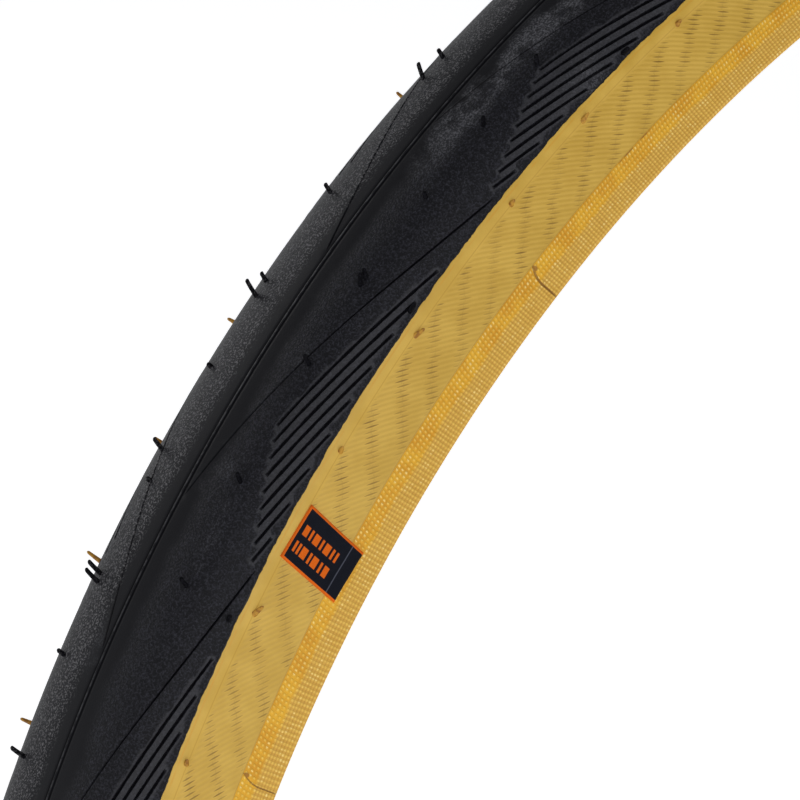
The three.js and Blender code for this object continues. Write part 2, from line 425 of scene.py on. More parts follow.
class Paint:
    """A node material in the making: where a point is on the tire, patterns, colours and bumps."""

    def __init__(self, name, roughness=0.6, specular=0.5):
        self.material = bpy.data.materials.new(name)
        self.material.use_nodes = True
        self.tree = self.material.node_tree
        self.shader = self.tree.nodes["Principled BSDF"]
        self.shader.inputs["Roughness"].default_value = roughness
        self.shader.inputs["Specular IOR Level"].default_value = specular
        place = self.tree.nodes.new("ShaderNodeUVMap")
        place.uv_map = "place"
        split = self.tree.nodes.new("ShaderNodeSeparateXYZ")
        self.tree.links.new(place.outputs["UV"], split.inputs["Vector"])
        self.run = Signal(self.tree, split.outputs["X"])
        self.arc = Signal(self.tree, split.outputs["Y"])
        relief = self.tree.nodes.new("ShaderNodeAttribute")
        relief.attribute_name = "relief"
        self.relief = Signal(self.tree, relief.outputs["Fac"])
        self.position = self.tree.nodes.new("ShaderNodeTexCoord").outputs["Object"]
        self.last_bump = None

    def noise(self, grain, detail=2.0, roughness=0.5):
        """Smooth noise from 0 to 1 with lumps of about grain millimetres."""
        node = self.tree.nodes.new("ShaderNodeTexNoise")
        node.inputs["Scale"].default_value = 1 / (grain * MM)
        node.inputs["Detail"].default_value = detail
        node.inputs["Roughness"].default_value = roughness
        self.tree.links.new(self.position, node.inputs["Vector"])
        return Signal(self.tree, node.outputs["Fac"])

    def chance(self, x, y=None):
        """An even random number from 0 to 1 for each whole x and y."""
        join = self.tree.nodes.new("ShaderNodeCombineXYZ")
        self.tree.links.new((x + 0.5).socket, join.inputs["X"])
        if y is not None:
            self.tree.links.new((y + 0.5).socket, join.inputs["Y"])
        node = self.tree.nodes.new("ShaderNodeTexWhiteNoise")
        node.noise_dimensions = "2D"
        self.tree.links.new(join.outputs["Vector"], node.inputs["Vector"])
        return Signal(self.tree, node.outputs["Value"])

    def mix(self, share, first, second):
        """The first colour where share is 0 and the second where it is 1."""
        node = self.tree.nodes.new("ShaderNodeMix")
        node.data_type = "RGBA"
        self.tree.links.new(share.socket, node.inputs["Factor"])
        colour_a, colour_b = (s for s in node.inputs if s.type == "RGBA")
        for socket, colour in ((colour_a, first), (colour_b, second)):
            if isinstance(colour, tuple):
                socket.default_value = (*colour, 1)
            else:
                self.tree.links.new(colour, socket)
        return next(s for s in node.outputs if s.type == "RGBA")

    def colour(self, socket):
        self.tree.links.new(socket, self.shader.inputs["Base Color"])

    def roughness(self, signal):
        self.tree.links.new(signal.socket, self.shader.inputs["Roughness"])

    def specular(self, signal):
        self.tree.links.new(signal.socket, self.shader.inputs["Specular IOR Level"])

    def bump(self, signal, height_mm):
        """Adds a relief of this height to the surface's normal, on top of any before it."""
        node = self.tree.nodes.new("ShaderNodeBump")
        node.inputs["Distance"].default_value = height_mm * MM
        self.tree.links.new(signal.socket, node.inputs["Height"])
        if self.last_bump:
            self.tree.links.new(self.last_bump, node.inputs["Normal"])
        self.last_bump = node.outputs["Normal"]
        self.tree.links.new(self.last_bump, self.shader.inputs["Normal"])


def tread_rubber():
    """Black moulded rubber: pebbled except near the crown, dusty in places, with a painted sheen that
    makes the far half greyer and sparkly.

    Grooves and the furrows beside the crown get painted shade, near black, and the hairs their own near
    black, found by the moulded relief and the arc. The crown's ridge and the grooves' brims get painted
    highlights.
    """
    paint = Paint("tread_rubber", specular=0.3)
    paint.shader.inputs["IOR"].default_value = 1.25
    arc, relief = paint.arc, paint.relief
    off_crown = arc.absolute()
    patches = paint.noise(12, 3)
    pebbled = (off_crown + (patches - 0.5) * 5).ramp(3.5, 8)
    # Painted sheen: the far half is painted a lighter grey, sparkling with the grain, to stand for the
    # grazing light it catches.
    far = (-arc + (patches - 0.5) * 3).ramp(2.8, 6) * (-arc).ramp(17, 12)
    grain = paint.noise(0.43, 2, 0.6)
    worm = (paint.noise(1.2, 1) - 0.5).absolute().ramp(0.05, 0.02)
    speck = (worm * 0.4 + grain.ramp(0.53, 0.6) * 0.7).at_most(1.0) * pebbled
    smudged = paint.run.within(258, 312, 9) * arc.within(2.5, 10, 2)
    smudged = smudged * paint.noise(6, 4, 0.6).ramp(0.4, 0.58)
    dusty = smudged.at_least(paint.noise(30, 4, 0.6).ramp(0.6, 0.75) * 0.5)
    dust = dusty * (grain.ramp(0.45, 0.62) * 0.8 + 0.2)
    # Painted shade in the grooves, and in the furrows beside the crown's ridge.
    sunk_shade = relief.ramp(0.0, -0.35).at_least(off_crown.within(0.25, 0.75, 0.12) * 0.8)
    standing = relief.ramp(1.0, 2.0)
    rubber = paint.mix(speck, (0.0085, 0.0085, 0.0105), (0.029, 0.029, 0.037))
    # Painted sheen and sparkle on the far half.
    rubber = paint.mix(far * grain.ramp(0.51, 0.64), rubber, (0.12, 0.117, 0.123))
    rubber = paint.mix(dust * 0.7, rubber, (0.14, 0.14, 0.155))
    # Painted highlight along the crown's ridge, broken by noise.
    ridge = relief.within(0.06, 0.2, 0.02) * off_crown.ramp(0.35, 0.25)
    crown_ridge_highlight = ridge * paint.noise(1.8, 2).ramp(0.4, 0.6)
    rubber = paint.mix(crown_ridge_highlight * 0.25, rubber, (0.14, 0.14, 0.15))
    # Painted highlight on the grooves' raised brims.
    lip = relief.within(0.035, 0.06, 0.01)
    rubber = paint.mix(lip * 0.25, rubber, (0.1, 0.1, 0.11))
    # Painted shade in grooves and furrows, together with the hairs' own near black.
    shade_and_hair_black = sunk_shade.at_least(standing * 0.8) * 0.75
    paint.colour(paint.mix(shade_and_hair_black, rubber, (0.0015, 0.0015, 0.002)))
    matt = sunk_shade.at_least(standing) * 0.85
    paint.specular((1 - matt) * (pebbled * 0.1 + 0.24))
    paint.roughness(speck * 0.15 + pebbled * 0.12 + 0.34)
    paint.bump(grain * pebbled, 0.2)
    paint.bump(paint.noise(0.25, 2), 0.03)
    return paint.material


def sidewall_rubber():
    """Mustard tan rubber, thin over slanting casing cords that show as ridges and short dark dashes,
    with a painted shade line at its foot by the chafer.
    """
    paint = Paint("sidewall_rubber", roughness=0.48, specular=0.4)
    run, arc = paint.run, paint.arc.absolute()
    cords = (run - arc * CORD_SLANT) * (1 / CORD_SPACING)
    number = cords.floor()
    ridge = cords.wave()
    corded = arc.ramp(27.6, 28.6) * arc.ramp(38.8, 38.4)
    way = run + arc * DASH_SLANT
    bands = (way - DASH_MIDDLE) * (DASH_BANDS / ROUND) + 0.5
    bands = bands + way.ramp(285, 190) * 0.8 + (paint.chance(number) - 0.5) * 0.16
    off_band = bands.off_middle()
    in_band = off_band.ramp(0.33, 0.02)
    dash = (in_band * 0.17 - cords.off_middle()).ramp(-0.03, 0.07) * in_band.ramp(0.0, 0.45)
    held = corded * (paint.noise(9, 2).ramp(0.35, 0.6) * 0.5 + 0.5)
    dark = dash * held * (paint.chance(number, bands.floor()) * 0.5 + 0.5)
    thread = off_band.ramp(0.035, 0.01) * held * 0.16
    cloud = paint.noise(7, 3)
    body = paint.mix(cloud.ramp(0.3, 0.7), (0.56, 0.34, 0.043), (0.635, 0.398, 0.062))
    body = paint.mix(ridge * corded * 0.3, body, (0.46, 0.27, 0.034))
    edge = arc.within(25.75, 26.1, 0.15) * paint.noise(4, 2).ramp(0.3, 0.6)
    body = paint.mix(edge * 0.6, body, (0.62, 0.3, 0.02))
    step = arc.within(STEP_ARC - 0.1, STEP_ARC + 0.1, 0.1)
    body = paint.mix(step * 0.5, body, (0.42, 0.22, 0.02))
    # Painted shade: a thin brown line where the skin's foot meets the chafer's edge.
    foot = arc.within(38.75, 38.95, 0.06)
    body = paint.mix(foot * 0.4, body, (0.42, 0.22, 0.02))
    body = paint.mix(dark.at_least(thread), body, (0.22, 0.12, 0.011))
    amber = paint.mix(paint.noise(0.9, 1).ramp(0.35, 0.6), (0.26, 0.105, 0.004), (0.44, 0.22, 0.016))
    body = paint.mix(paint.relief.ramp(1.0, 2.0), body, amber)
    ragged_arc = arc + (paint.noise(2.5, 3) - 0.5) * 0.9
    tread_flash = ragged_arc.ramp(25.22, 25.14) * paint.relief.ramp(1.0, 0.5)
    paint.colour(paint.mix(tread_flash, body, (0.006, 0.006, 0.007)))
    paint.bump(ridge * corded * -0.5 + paint.noise(0.3, 2) * 0.4, 0.045)
    return paint.material


def seam_bow(arc):
    """How far a chafer seam leans round the ring towards its top end."""
    return SEAM_LEAN * np.clip((SEAM_BEND - arc) / SEAM_BENT_LENGTH, 0, 1) ** 2


def chafer_gauze():
    """Orange tan gauze of plain weave in thin rubber, its thread crossings showing as pale dots, with
    painted shade in the furrows between rows and painted glints on a few crossings.

    The strip was stretched unevenly as it was laid, so its weave is wider in some places than in others.
    """
    paint = Paint("chafer_gauze", roughness=0.5, specular=0.35)
    run, arc = paint.run, paint.arc
    sway = paint.noise(9, 2) - 0.5
    above = (SEAM_BEND - arc).at_least(0.0)
    place = run - above * above * 0.05
    stretch = (place - GAUZE_STRETCH_START) * (2 * math.pi * GAUZE_STRETCH_WAVES / ROUND)
    columns = place * (GAUZE_COLUMNS / ROUND) + stretch.math("SINE") * GAUZE_STRETCH_COLUMNS
    columns = columns + sway * 0.35
    wide = (arc.at_most(GAUZE_FINE_START) - CHAFER_EDGE) * (1 / GAUZE_WIDE_ROW)
    fine = (arc - GAUZE_FINE_START).at_least(0.0) * (1 / GAUZE_FINE_ROW)
    rows = wide + fine + sway * 0.3
    upper = (arc + sway * 1.5).ramp(42.7, 41.9)
    lower = 1 - upper
    across = columns.wave()
    down = 1 - rows.wave()
    dot = across.ramp(0.2, 0.85) * down.ramp(0.2, 0.85)
    lines = across.ramp(0.15, 0.9)
    chance = paint.chance(columns.floor(), rows.floor())
    pale = (dot * upper * 0.75 + (lines * 0.32 + dot * 0.33) * lower) * (chance * 0.5 + 0.5)
    # Painted glints on a few random thread crossings.
    glint_dots = dot * chance.ramp(0.8, 0.95) * 0.6
    upper_ground = paint.mix(paint.noise(5, 3).ramp(0.3, 0.7), (0.66, 0.3, 0.008), (0.78, 0.41, 0.018))
    lower_ground = paint.mix(paint.noise(3, 2), (0.58, 0.3, 0.034), (0.68, 0.39, 0.06))
    body = paint.mix(pale, paint.mix(upper, lower_ground, upper_ground), (0.97, 0.66, 0.125))
    # Painted shade in the furrows between the weave's rows; the bump below sinks the same furrows.
    furrow_shade = down.ramp(0.3, 0.0) * (upper * 0.15 + lower * 0.4) * (1 - lines * 0.5)
    body = paint.mix(furrow_shade, body, (0.42, 0.18, 0.015))
    body = paint.mix(glint_dots, body, (0.97, 0.76, 0.31))
    stain = arc.within(38.9, 39.15, 0.08) * run.within(282, 292, 2)
    resin = [stain * paint.noise(2, 2).ramp(0.35, 0.6)]
    for seam in SEAM_RUNS:
        bend = above * (1 / SEAM_BENT_LENGTH)
        off_seam = (run - bend * bend * SEAM_LEAN - seam).absolute()
        resin.append(off_seam.ramp(0.42, 0.15) * arc.ramp(47.5, 45.5))
        beside_blob = run - (seam + 1.6)
        below_blob = arc - 39.6
        off_blob_squared = beside_blob * beside_blob + below_blob * below_blob
        resin.append(off_blob_squared.ramp(0.55, 0.15))
    paint.colour(paint.mix(greatest(resin) * 0.8, body, (0.26, 0.1, 0.012)))
    paint.bump(dot * (upper * 0.5 + 0.5) + lines * 0.3 - furrow_shade, 0.12)
    return paint.material


def label_cloth():
    """Black woven tag with an orange edge and two columns of plain orange bars, and a painted highlight
    along its fold.
    """
    paint = Paint("label_cloth", roughness=0.8, specular=0.12)
    x, y = paint.run, paint.arc
    weave = (x * 4.0).wave() * (y * 4.0).wave()
    inner = LABEL_RIM + 0.05
    sides = x.ramp(inner, LABEL_RIM).at_least(x.ramp(LABEL_WIDTH - inner, LABEL_WIDTH - LABEL_RIM))
    rim = sides.at_least(y.ramp(inner, LABEL_RIM))
    # Painted highlight along the fold's crease.
    crease_highlight = y.within(LABEL_FOLD - 0.12, LABEL_FOLD + 0.08, 0.08)
    columns = []
    for left, right, marks in LABEL_BARS:
        rows = greatest(y.within(top, bottom, 0.06) for top, bottom in marks)
        columns.append(x.within(left, right, 0.06) * rows)
    bars = greatest(columns)
    cloth = paint.mix(weave, (0.0045, 0.0055, 0.01), (0.0095, 0.0105, 0.018))
    cloth = paint.mix(crease_highlight, cloth, (0.07, 0.075, 0.1))
    ink = paint.mix(weave, (0.68, 0.115, 0.004), (0.82, 0.17, 0.02))
    paint.colour(paint.mix(rim.at_least(bars), cloth, ink))
    paint.bump(weave, 0.05)
    return paint.material


def corded_nylon(name, first, second, spacing, slant):
    """Parallel cords in a thin coat of rubber, as on a casing or a belt."""
    paint = Paint(name, roughness=0.6, specular=0.35)
    cords = (paint.run + paint.arc * slant) * (1 / spacing)
    ridge = cords.wave()
    shade = paint.noise(6, 3) * 0.5 + ridge * 0.5
    paint.colour(paint.mix(shade, first, second))
    paint.bump(ridge, 0.12)
    return paint.material


def twisted_aramid():
    """Yellow aramid fibres laid in a slow twist."""
    paint = Paint("aramid_cord", roughness=0.55, specular=0.4)
    twist = (paint.run * 0.5 + paint.arc * 0.65).wave()
    paint.colour(paint.mix(twist, (0.4, 0.27, 0.03), (0.7, 0.52, 0.12)))
    paint.bump(twist, 0.15)
    return paint.material


# ---------------------------------------------------------------- tread

def groove_lead(arc):
    """How far round the ring a long groove lies from its pitch's start, at a given arc."""
    return np.polyval(GROOVE_CUBIC, arc)


class Outline:
    """Points with heights, and edges that a triangulation of them has to keep."""

    def __init__(self):
        self.points = []
        self.heights = []
        self.edges = []

    def line(self, points, heights, shut=False):
        """Points joined by edges, in a ring when shut."""
        first = len(self.points)
        self.points += [tuple(p) for p in points]
        self.heights += list(np.broadcast_to(heights, (len(points),)))
        numbers = list(range(first, len(self.points)))
        self.edges += list(zip(numbers, numbers[1:]))
        if shut:
            self.edges.append((numbers[-1], numbers[0]))

    def spot(self, run, arc, blocked, clearance):
        """A single point at no height, left out where it is too near the blocked ones."""
        if np.hypot(*(blocked - (run, arc)).T).min() > clearance:
            self.points.append((run, arc))
            self.heights.append(0.0)

    def triangles(self):
        """Points, their heights, and the triangles between them."""
        flat_points = [Vector(p) for p in self.points]
        found = delaunay_2d_cdt(flat_points, self.edges, [], 1, 1e-6, True)
        points, edges, faces, sources = found[:4]
        heights = [self.heights[source[0]] if source else 0.0 for source in sources]
        return np.array([tuple(p) for p in points]), np.array(heights), np.array(faces)


def short_groove(number):
    """Both ends of one short groove, in run from its pitch's start and in arc."""
    return (25.7 - 3.21 * number, 13.7 + 1.1 * number), (69.0 - 7.87 * number, 23.9)


def add_short_groove(outline, number, keep_clear):
    """Adds a groove's raised brim and its floor, a little ragged, and keeps its middle line clear."""
    start, end = (np.array(p) for p in short_groove(number))
    length = np.linalg.norm(end - start)
    along = (end - start) / length
    side = np.array([-along[1], along[0]])
    brim = (SHORT_GROOVE_WIDTH, 0.0, LIP)
    floor = (SHORT_GROOVE_FLOOR, 0.8, -SHORT_GROOVE_DEPTH)
    for width, inset, height in (brim, floor):
        marks = np.linspace(inset, length - inset, max(3, int(length / 1.6)))
        ragged = np.array([random.uniform(0.85, 1.15) for _ in marks])[:, None] * side * width / 2
        right = start + along * marks[:, None] + ragged
        left = start + along * marks[::-1, None] - ragged[::-1]
        tips = start + along * (length - inset + width * 0.4), start + along * (inset - width * 0.4)
        outline.line([*right, tips[0], *left, tips[1]], height, shut=True)
    keep_clear.append(start + along * np.linspace(0, length, int(length))[:, None])


def tread_cell():
    """The near shoulder from one long groove to the next: points of run and arc, heights, triangles."""
    outline = Outline()
    keep_clear = []
    arcs = np.concatenate([[CROWN_STRIP, 1.4, 1.8, 2.3], np.linspace(2.9, 23.5, 35), [24.1, TREAD_EDGE]])
    curve = np.stack([groove_lead(arcs), arcs], -1)
    depth = -LONG_GROOVE_DEPTH * np.interp(arcs, (arcs[0], arcs[1], arcs[-3], arcs[-2]), (0, 1, 1, 0))
    lip = LIP * 0.6 * np.interp(arcs, (arcs[1], 6.0), (0, 1))
    steps = np.arange(1, CELLS_PER_PITCH) * CELL
    foot = np.stack([curve[0, 0] + steps, np.full(len(steps), CROWN_STRIP)], -1)
    top = np.stack([curve[-1, 0] + steps[::-1], np.full(len(steps), TREAD_EDGE)], -1)
    right = curve + (PITCH, 0)
    flat = np.zeros(len(steps))
    heights = np.concatenate([flat, depth, flat, depth[::-1]])
    outline.line([*foot, *right, *top, *curve[::-1]], heights, shut=True)
    slope = np.gradient(curve, axis=0)
    normal = np.stack([slope[:, 1], -slope[:, 0]], -1) / np.linalg.norm(slope, axis=1)[:, None]
    for border, sense in ((curve, 1), (right, -1)):
        brim = border + normal * sense * LONG_GROOVE_WIDTH / 2
        outline.line(brim[1:-1], lip[1:-1])
        keep_clear.append(border)
        keep_clear.append((border[1:] + border[:-1]) / 2)
    for number in range(SHORT_GROOVES):
        add_short_groove(outline, number, keep_clear)
    blocked = np.concatenate(keep_clear)
    beside_crown = CROWN_STRIP + 0.35
    for run in groove_lead(CROWN_STRIP) + steps:
        outline.spot(run, beside_crown, blocked, 0.7)
    for row, arc in enumerate(np.arange(CROWN_STRIP + 1.3, TREAD_EDGE - 0.6, 1.75)):
        for run in groove_lead(arc) + np.arange(1.2 + 0.9 * (row % 2), PITCH - 1.0, 1.8):
            outline.spot(run, arc, blocked, 1.0)
    points, heights, triangles = outline.triangles()
    middles = points[triangles].mean(axis=1)
    ahead = middles[:, 0] - np.interp(middles[:, 1], curve[:, 1], curve[:, 0])
    return points, heights, triangles[(ahead > 0) & (ahead < PITCH)]


def hair(skin, run, arc, length, lean, width, tip):
    """A moulding hair: a thin rubber whisker standing on its vent, leaning and curling a little."""
    base = on_tire(run, arc, -HAIR_ROOT)
    up = on_tire(run, arc, 1.0) - on_tire(run, arc, 0.0)
    up /= np.linalg.norm(up)
    round_way = on_tire(run + 1, arc) - on_tire(run, arc)
    round_way /= np.linalg.norm(round_way)
    side = np.cross(up, round_way)
    way = up + lean[0] * round_way + lean[1] * side
    way /= np.linalg.norm(way)
    curl = lean[0] * round_way + lean[1] * side
    rings, sides = 7, 8
    points = []
    for i in range(rings):
        share = min(i / (rings - 2), 1)
        centre = base + (way * share + curl * 0.2 * share**2) * (length + HAIR_ROOT) * MM
        thick = width / 2 * MM * (1 + (tip - 1) * share)
        if i == rings - 1:
            thick *= 0.6
            centre = centre + way * width * 0.2 * MM
        for j in range(sides):
            turn = 2 * math.pi * j / sides
            points.append(centre + thick * (math.cos(turn) * round_way + math.sin(turn) * side))
    index = np.arange(rings * sides).reshape(rings, sides)
    after = np.roll(index, -1, axis=1)
    quads = np.stack([index[:-1], after[:-1], after[1:], index[1:]], -1).reshape(-1, 4)
    places = np.tile((run, arc), (len(points), 1))
    skin.add(points, places, quads, HAIR_RELIEF)
    for ring in (0, rings - 1):
        middle = points[ring * sides : (ring + 1) * sides]
        fan = [np.mean(middle, axis=0), *middle]
        spokes = [(0, j + 1, (j + 1) % sides + 1) for j in range(sides)]
        skin.add(fan, np.tile((run, arc), (len(fan), 1)), spokes, HAIR_RELIEF)


def scattered_hairs(skin, spots, arc, number, length, width=1.1, tip=0.9):
    """Hairs at their own spots over the seen arc, and evenly but for small strays round the rest."""
    for run, across, long, lean in spots:
        hair(skin, run, across, long, lean, width, tip)
    for run in np.arange(number) * (ROUND / number):
        if SEEN[0] < run < SEEN[1]:
            continue
        stray = random.uniform(-2, 2)
        lean = (random.uniform(-0.5, 0.5), random.uniform(-0.3, 0.3))
        long = length * random.uniform(0.4, 1.1)
        hair(skin, run + stray, arc + random.uniform(-0.3, 0.3), long, lean, width, tip)


# Where each hair of the seen arc stands: run, arc, length, and how much it leans round and across
NEAR_HAIRS = [
    (159.5, 12.6, 2.4, (0.25, 0.1)),
    (182.0, 12.7, 2.6, (0.3, 0.0)),
    (208.5, 12.6, 2.6, (0.2, 0.1)),
    (227.0, 12.4, 2.6, (0.45, 0.0)),
    (228.7, 12.6, 2.2, (0.35, 0.1)),
    (249.0, 12.6, 1.2, (0.2, 0.1)),
    (268.0, 12.4, 2.0, (0.3, 0.0)),
    (285.0, 12.4, 2.2, (0.3, 0.1)),
    (306.0, 12.4, 2.2, (0.3, 0.1)),
    (157.0, 23.6, 2.0, (0.3, 0.2)),
    (228.0, 24.1, 2.2, (0.5, 0.2)),
    (299.0, 24.0, 1.8, (0.3, 0.1)),
]
FAR_HAIRS = [
    (115.5, -12.8, 3.3, (0.25, 0.0)),
    (137.0, -12.8, 1.6, (0.2, 0.0)),
    (152.7, -12.3, 3.6, (0.3, 0.0)),
    (154.4, -12.9, 3.3, (0.3, 0.1)),
    (175.0, -11.4, 0.8, (0.1, 0.0)),
    (181.5, -12.9, 3.0, (0.3, 0.0)),
    (200.6, -12.9, 0.9, (0.1, 0.0)),
    (217.3, -12.9, 3.8, (0.3, 0.0)),
    (221.0, -13.2, 1.8, (0.3, 0.0)),
    (243.3, -12.9, 1.9, (0.2, 0.0)),
    (274.0, -12.9, 3.2, (0.35, 0.0)),
    (280.2, -12.6, 1.9, (0.1, 0.0)),
    (306.0, -12.9, 2.4, (0.3, 0.0)),
]


def build_tread():
    """Both shoulders' grooved cells, the crown's ridge, the inside and the edges, and the hairs."""
    skin = Skin()
    cell, heights, triangles = tread_cell()
    for number in range(PITCHES):
        for side, shift in ((1, 0.0), (-1, FAR_SHIFT)):
            run = cell[:, 0] + FIRST_GROOVE + number * PITCH + shift
            arc = side * cell[:, 1]
            skin.add(on_tire(run, arc, heights), np.stack([run, arc], -1), triangles, heights)
    lattice = FIRST_GROOVE + np.arange(PITCHES * CELLS_PER_PITCH + 1) * CELL
    strips = [
        (CROWN_PROFILE_ARCS, CROWN_PROFILE_HEIGHTS),
        (INNER_ARCS, -INNER_DEPTHS),
        (np.array([TREAD_EDGE, TREAD_EDGE]), np.array([0, -TREAD_EDGE_DEPTH])),
        (np.array([-TREAD_EDGE, -TREAD_EDGE]), np.array([-TREAD_EDGE_DEPTH, 0])),
    ]
    for arcs, levels in strips:
        points = on_tire(lattice[:, None], arcs[None, :], levels[None, :])
        places = np.stack(np.broadcast_arrays(lattice[:, None], arcs[None, :]), -1)
        skin.add_grid(points, places, levels[None, :])
    scattered_hairs(skin, NEAR_HAIRS, 12.6, HAIRS_ROUND, 3.6)
    scattered_hairs(skin, FAR_HAIRS, -12.8, HAIRS_ROUND, 4.4)
    skin.piece("tread", tread_rubber(), "tread_rubber")


# ---------------------------------------------------------------- side walls

NEAR_STEP_HAIRS = [
    (127.5, 27.5, 1.0, (0.8, 0.3)),
    (160.0, 27.6, 1.9, (1.2, -0.4)),
    (196.8, 27.6, 1.1, (0.6, 0.2)),
    (224.6, 27.7, 1.7, (1.2, -0.3)),
    (258.5, 27.6, 1.0, (0.6, 0.2)),
    (282.0, 27.7, 1.5, (1.2, 0.3)),
    (312.5, 27.6, 1.0, (0.6, 0.2)),
]
FAR_STEP_HAIRS = [
    (120.5, -27.4, 4.8, (0.0, 0.0)),
    (156.0, -27.4, 5.8, (0.15, 0.0)),
    (183.5, -27.4, 4.2, (0.1, 0.0)),
    (213.0, -27.4, 3.9, (0.0, 0.0)),
    (243.5, -27.4, 2.0, (0.1, 0.0)),
    (273.0, -27.4, 4.4, (0.1, 0.0)),
    (303.0, -27.4, 2.4, (0.1, 0.0)),
]


def build_sidewall(name, side, spots):
    """A thin skin from the tread's edge to the chafer, with a mould step and ridges over the cords."""
    skin = Skin()
    per_cord = 4
    columns = np.arange(CORDS * per_cord + 1)
    start = columns * (CORD_SPACING / per_cord)
    cord_arcs = np.linspace(CORD_START + 0.4, CORD_END - 0.3, 6)
    top = [TREAD_EDGE + 0.05, 25.3, 27.3, STEP_ARC, CORD_START]
    back = [SKIN_END, 30.4, TREAD_EDGE + 0.05]
    arcs = np.array([*top, *cord_arcs, CORD_END, SKIN_END, *back])
    outside = [-0.05, 0.06, 0.06, 0.03, -0.06, *[-0.02] * len(cord_arcs), -0.03, 0.0]
    levels = np.array([*outside, -SKIN_DEPTH, -0.5, -TREAD_EDGE_DEPTH])
    on_cords = np.array([0.0] * len(top) + [1.0] * len(cord_arcs) + [0.0] * (2 + len(back)))
    middle = (CORD_START + CORD_END) / 2
    lean = np.where(levels > -0.3, np.clip(arcs, CORD_START, CORD_END), middle) * CORD_SLANT
    rise = -0.02 * np.cos(2 * math.pi * columns / per_cord)
    run = start[:, None] + lean[None, :]
    height = levels[None, :] + rise[:, None] * on_cords[None, :]
    radius, y = section(side * arcs[None, :], height)
    points = on_ring(run, radius, y)
    places = np.stack(np.broadcast_arrays(run, side * arcs[None, :]), -1)
    around = np.r_[0 : len(arcs), 0]
    skin.add_grid(points[:, around], places[:, around])
    length = 1.0 if side > 0 else 4.0
    scattered_hairs(skin, spots, side * STEP_ARC, STEP_HAIRS_ROUND, length, width=1.4, tip=0.5)
    skin.piece(name, sidewall_rubber(), "sidewall_rubber")


# ---------------------------------------------------------------- beads

def bead_outline():
    """The chafer's ribbon in radius and Y on the near side, and the way along it as an arc."""
    wall_top = section(CHAFER_EDGE, 0.02)
    wall_foot = section(47.67)
    heel = (SEAT_RADIUS, wall_foot[1])
    toe = (SEAT_RADIUS + 0.15, -26.1)
    bulge = section(41.3, -4.75)
    inner_end = section(38.1, -2.1)
    line = fillet([wall_top, heel, toe, bulge, inner_end], (0.9, 1.2, 1.6))
    wall = np.linspace(wall_top, line[1], 9)
    line = np.concatenate([wall, line[2:]])
    outline = thicken(line, 0.0, CHAFER_THICKNESS)[::-1]
    lengths = np.concatenate([[0], np.cumsum(np.hypot(*np.diff(outline, axis=0).T))])
    return outline, CHAFER_EDGE + lengths


def build_chafer(name, side, start, end):
    """A length of woven strip folded round the bead, its two cut ends following the seams."""
    skin = Skin()
    outline, along = bead_outline()
    columns = int((end - start) / CHAFER_COLUMN)
    runs = np.linspace(start + SEAM_GAP, end - SEAM_GAP, columns + 1)
    to_end = np.minimum(runs - start, end - runs)
    near_end = np.clip(1 - to_end / SEAM_REACH, 0, 1)
    runs = runs[:, None] + seam_bow(along)[None, :] * near_end[:, None]
    shift = 0.0 if side > 0 else ROUND / 2
    radius, y = outline.T
    band(skin, radius, side * y, along, runs + shift)
    rows = len(outline)
    for column in (0, len(runs) - 1):
        points = on_ring(runs[column] + shift, radius, side * y)
        half = rows // 2
        index = np.arange(half - 1)
        quads = np.stack([index, index + 1, rows - 2 - index, rows - 1 - index], -1)
        skin.add(points, np.stack([runs[column], along[:rows]], -1), quads)
    skin.piece(name, chafer_gauze(), "chafer_gauze")


def build_bead_core(name, side):
    """A round bundle of cord inside the chafer."""
    skin = Skin()
    radius, y = section(BEAD_ARC, BEAD_DEPTH)
    turns = np.linspace(0, 2 * math.pi, 24, endpoint=False)
    core_radius = radius + BEAD_RADIUS * np.cos(turns)
    core_y = y + BEAD_RADIUS * np.sin(turns)
    band(skin, core_radius, side * core_y, turns * BEAD_RADIUS, full_round(RING_COLUMNS))
    skin.piece(name, twisted_aramid(), "aramid_cord")


# ---------------------------------------------------------------- casing and belts

def layer(arcs, heights):
    """Radius, Y and arc of a layer that crosses from the near side to the far side."""
    arcs = np.array(arcs, float)
    heights = np.array(heights, float)
    both = np.concatenate([arcs[::-1], -arcs[1:]])
    levels = np.concatenate([heights[::-1], heights[1:]])
    radius, y = section(both, levels)
    return np.stack([radius, y], -1), both


def build_layer(name, arcs, heights, thickness, material, slot):
    """A sheet of even thickness all round the ring, along arcs and heights given for one side."""
    skin = Skin()
    line, along = layer(arcs, heights)
    outline = thicken(line, thickness / 2, thickness / 2)
    ways = np.concatenate([along, along[::-1]])
    band(skin, outline[:, 0], outline[:, 1], ways, full_round(RING_COLUMNS))
    skin.piece(name, material, slot)


def build_casing():
    """The casing ply, which wraps round both bead cores and ends between itself and the side wall."""
    turns = np.radians(np.linspace(125, -90, 12))
    wrap_radius = BEAD_RADIUS + 0.46
    wrap_arcs = BEAD_ARC + wrap_radius * np.cos(turns)
    wrap_heights = BEAD_DEPTH - wrap_radius * np.sin(turns)
    inside_arcs = [0, 4, 8, 11.2, 12.5, 15, 18, 21.5, 25, 31, 38.1]
    inside_heights = [-3.5, -3.5, -3.5, -3.5, -3.5, -2.95, -2.4, -1.83, -1.33, -1.33, -1.33]
    arcs = [*inside_arcs, *wrap_arcs, 38.5, 30.4]
    heights = [*inside_heights, *wrap_heights, -0.79, -0.79]
    dark, light = (0.3, 0.17, 0.045), (0.5, 0.32, 0.11)
    material = corded_nylon("casing_nylon", dark, light, ROUND / CASING_CORDS, 1.0)
    build_layer("casing_ply", arcs, heights, CASING_THICKNESS, material, "casing_nylon")


